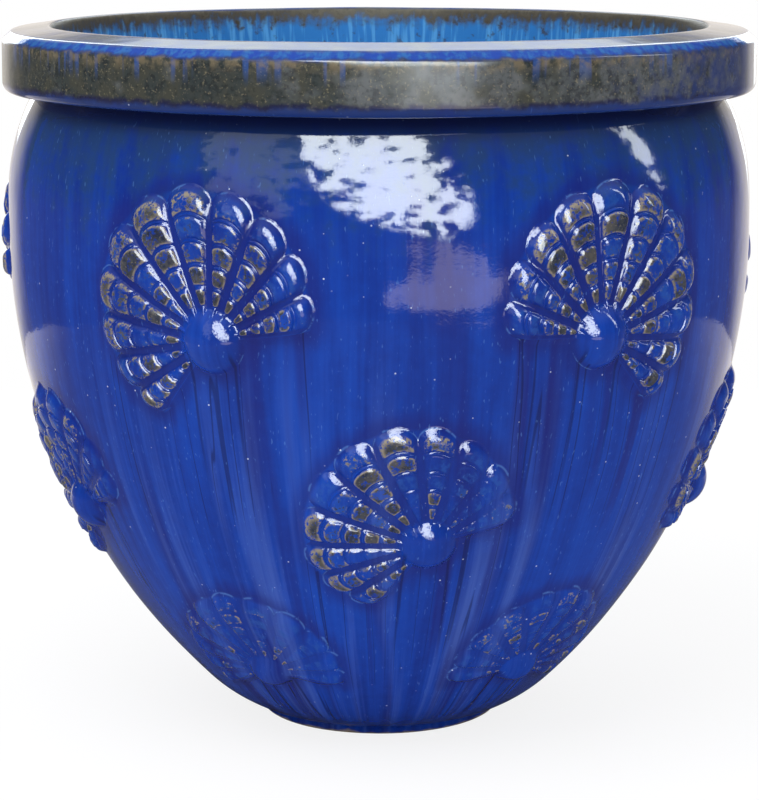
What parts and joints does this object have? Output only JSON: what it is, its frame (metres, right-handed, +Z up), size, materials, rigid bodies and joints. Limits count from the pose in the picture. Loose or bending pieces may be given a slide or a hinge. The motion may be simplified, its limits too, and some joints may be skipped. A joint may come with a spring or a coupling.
{
  "type": "planter",
  "caption": "Large round glazed stoneware planter with a heavy squared rim, a full belly narrowing to a small foot, and rows of applied scallop-shell sprigs.",
  "frame": {"origin": "middle of the foot, on the ground", "axes": "+Z up along the axis of the pot, -Y out of the front, +X to the right as seen from the front"},
  "size_m": [0.6551, 0.6503, 0.6],
  "materials": {
    "foot_clay": "stoneware, cobalt glaze on the heel, bare clay underneath",
    "cobalt_glaze": "glossy running cobalt glaze",
    "rim_glaze": "glossy olive-bronze glaze",
    "shell_glaze": "glossy cobalt glaze, broken to bronze on the high spots"
  },
  "bodies": {
    "root": {"base_slab": "foot_clay", "pot_wall": "cobalt_glaze", "rim_ring": "rim_glaze", "shell_upper_1": "shell_glaze", "shell_upper_2": "shell_glaze", "shell_upper_3": "shell_glaze", "shell_upper_4": "shell_glaze", "shell_upper_5": "shell_glaze", "shell_middle_1": "shell_glaze", "shell_middle_2": "shell_glaze", "shell_middle_3": "shell_glaze", "shell_middle_4": "shell_glaze", "shell_middle_5": "shell_glaze", "shell_lower_1": "shell_glaze", "shell_lower_2": "shell_glaze", "shell_lower_3": "shell_glaze", "shell_lower_4": "shell_glaze", "shell_lower_5": "shell_glaze"}
  },
  "joints": []
}
